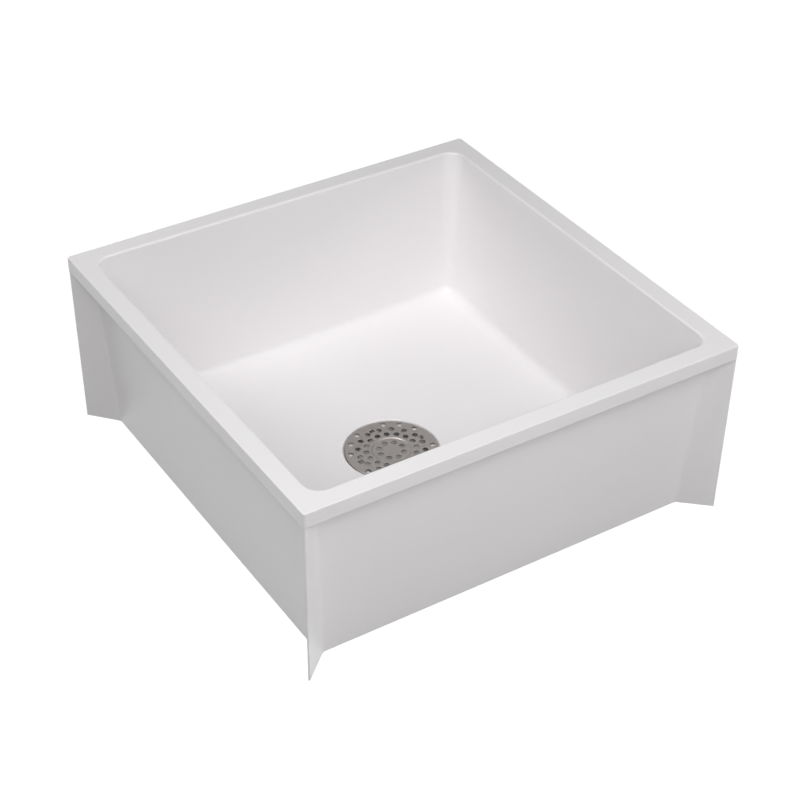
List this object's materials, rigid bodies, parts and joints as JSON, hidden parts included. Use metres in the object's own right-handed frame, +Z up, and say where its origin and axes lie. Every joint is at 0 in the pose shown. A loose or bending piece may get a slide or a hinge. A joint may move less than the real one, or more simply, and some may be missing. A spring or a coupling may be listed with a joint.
{
  "type": "mop sink",
  "caption": "Square floor-standing mop sink: moulded basin with rim, skirt and corner fins, sloping floor, and a lift-out strainer over a push-in waste pipe seal.",
  "frame": {"origin": "middle of the footprint, on the ground that the skirt, ribs and fins stand on", "axes": "+Z up along the drain's axis; X and Y square to the four sides; the picture looks from -X -Y"},
  "size_m": [0.6096, 0.6096, 0.252],
  "materials": {
    "basin": "white moulded glass-fibre composite, satin",
    "strainer": "pressed stainless steel sheet, satin",
    "seal": "moulded grey rubber, matt",
    "retainer": "stainless steel sheet, as rolled",
    "screws": "stainless steel"
  },
  "bodies": {
    "basin_body": {"basin": "basin", "drain_seal": "seal", "seal_retainer": "retainer", "retainer_screws": "screws"},
    "strainer_body": {"strainer": "strainer"}
  },
  "joints": [
    {"name": "strainer_lift", "type": "slide", "parent": "basin_body", "child": "strainer_body", "axis": [0, 0, 1], "range_m": [0, 0.26]}
  ]
}
